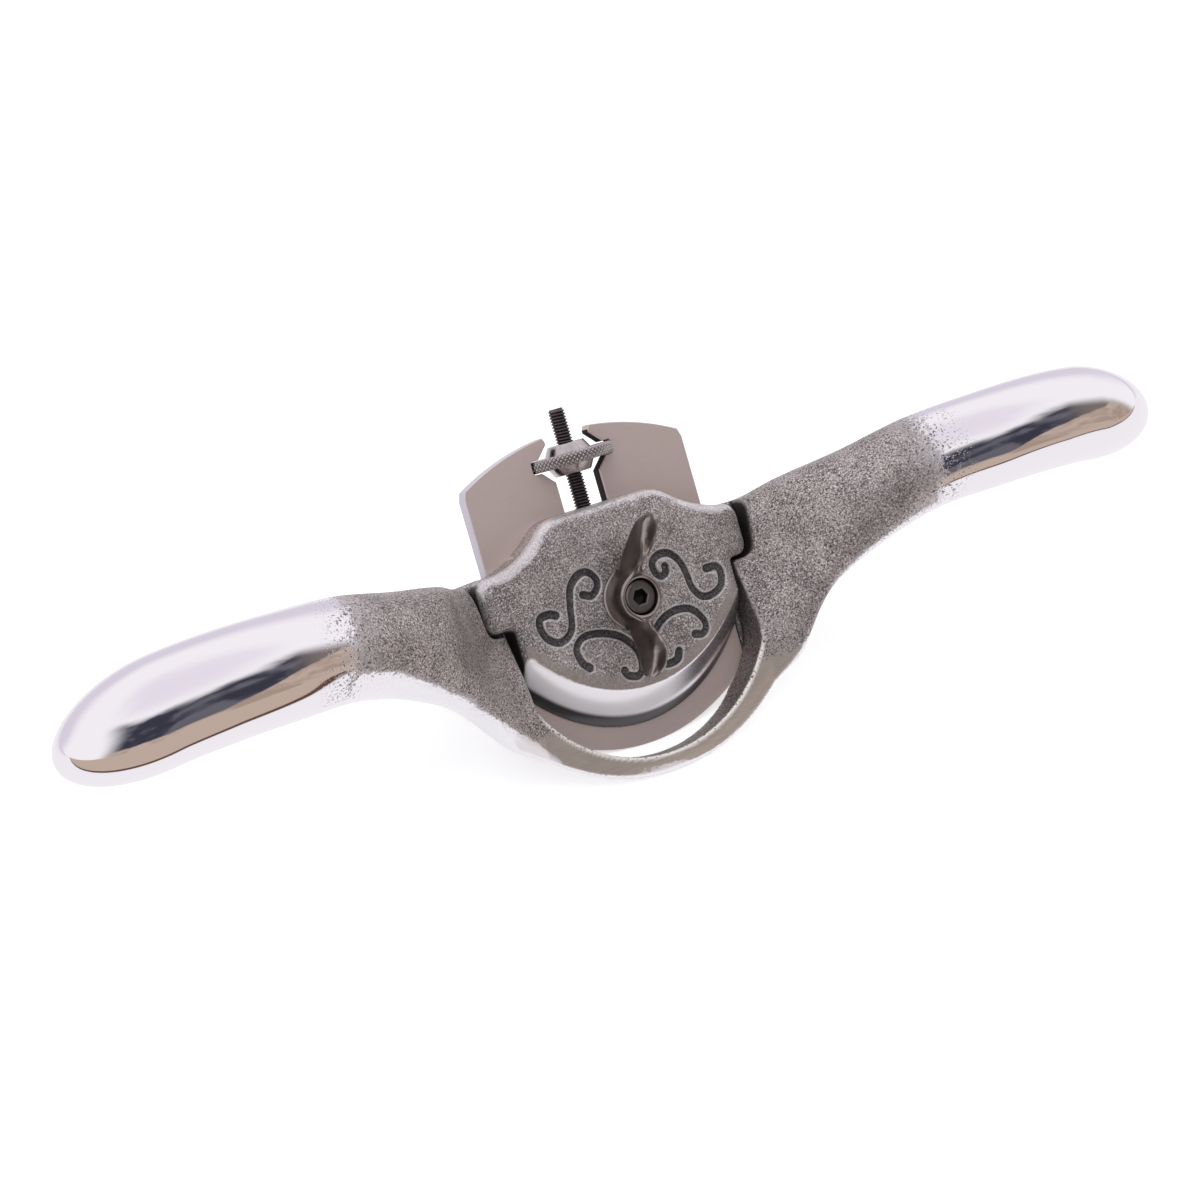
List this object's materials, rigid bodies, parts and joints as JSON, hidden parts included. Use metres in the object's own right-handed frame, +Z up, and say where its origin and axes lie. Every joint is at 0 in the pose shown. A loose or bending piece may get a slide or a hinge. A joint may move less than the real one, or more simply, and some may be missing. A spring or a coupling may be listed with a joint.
{
  "type": "spokeshave",
  "caption": "Half-round metal spokeshave with raised handles, an arched cutter, a knurled depth adjuster and a scrolled lever cap held by a thumb lever.",
  "frame": {"origin": "middle of the cutting edge, level with the lowest line of the half-round sole", "axes": "+X along the handles, -Y towards the toe, +Z up; the bed rises at 45 degrees towards +Y"},
  "size_m": [0.263, 0.0662, 0.0586],
  "materials": {
    "casting": "as-cast centre, mirror-polished grips and ground sole",
    "iron": "surface-ground, square to its length",
    "lever_cap": "grainy as cast, with a polished front",
    "thumb_lever": "bare, brown-toned, with bright edges",
    "clamp_spindle": "turned and threaded",
    "lock_screw": "black oxide",
    "adjuster_stud": "black oxide",
    "adjuster_nut": "bright, diamond-knurled"
  },
  "bodies": {
    "frame_body": {"casting": "casting", "adjuster_stud": "adjuster_stud"},
    "cutter": {"iron": "iron"},
    "depth_nut": {"adjuster_nut": "adjuster_nut"},
    "cap": {"lever_cap": "lever_cap"},
    "lever": {"thumb_lever": "thumb_lever", "clamp_spindle": "clamp_spindle", "lock_screw": "lock_screw"}
  },
  "joints": [
    {"name": "iron_slide", "type": "slide", "parent": "frame_body", "child": "cutter", "axis": [0, -0.7071, -0.7071], "range_m": [-0.003, 0.001]},
    {"name": "nut_turn", "type": "hinge", "parent": "cutter", "child": "depth_nut", "pos_m": [0, 0.04536, 0.04324], "axis": [0, -0.7071, -0.7071], "range_deg": [-1660, 555]},
    {"name": "cap_lift", "type": "slide", "parent": "frame_body", "child": "cap", "axis": [0, -0.7071, 0.7071], "range_m": [0, 0.00124]},
    {"name": "lever_turn", "type": "hinge", "parent": "cap", "child": "lever", "pos_m": [0, 0.0169, 0.02722], "axis": [0, -0.7071, 0.7071], "range_deg": [0, 360]}
  ],
  "couplings": [
    {"joint": "nut_turn", "follows": "iron_slide", "rad_per_m": 9520},
    {"joint": "lever_turn", "follows": "cap_lift", "rad_per_m": 5026.5}
  ]
}
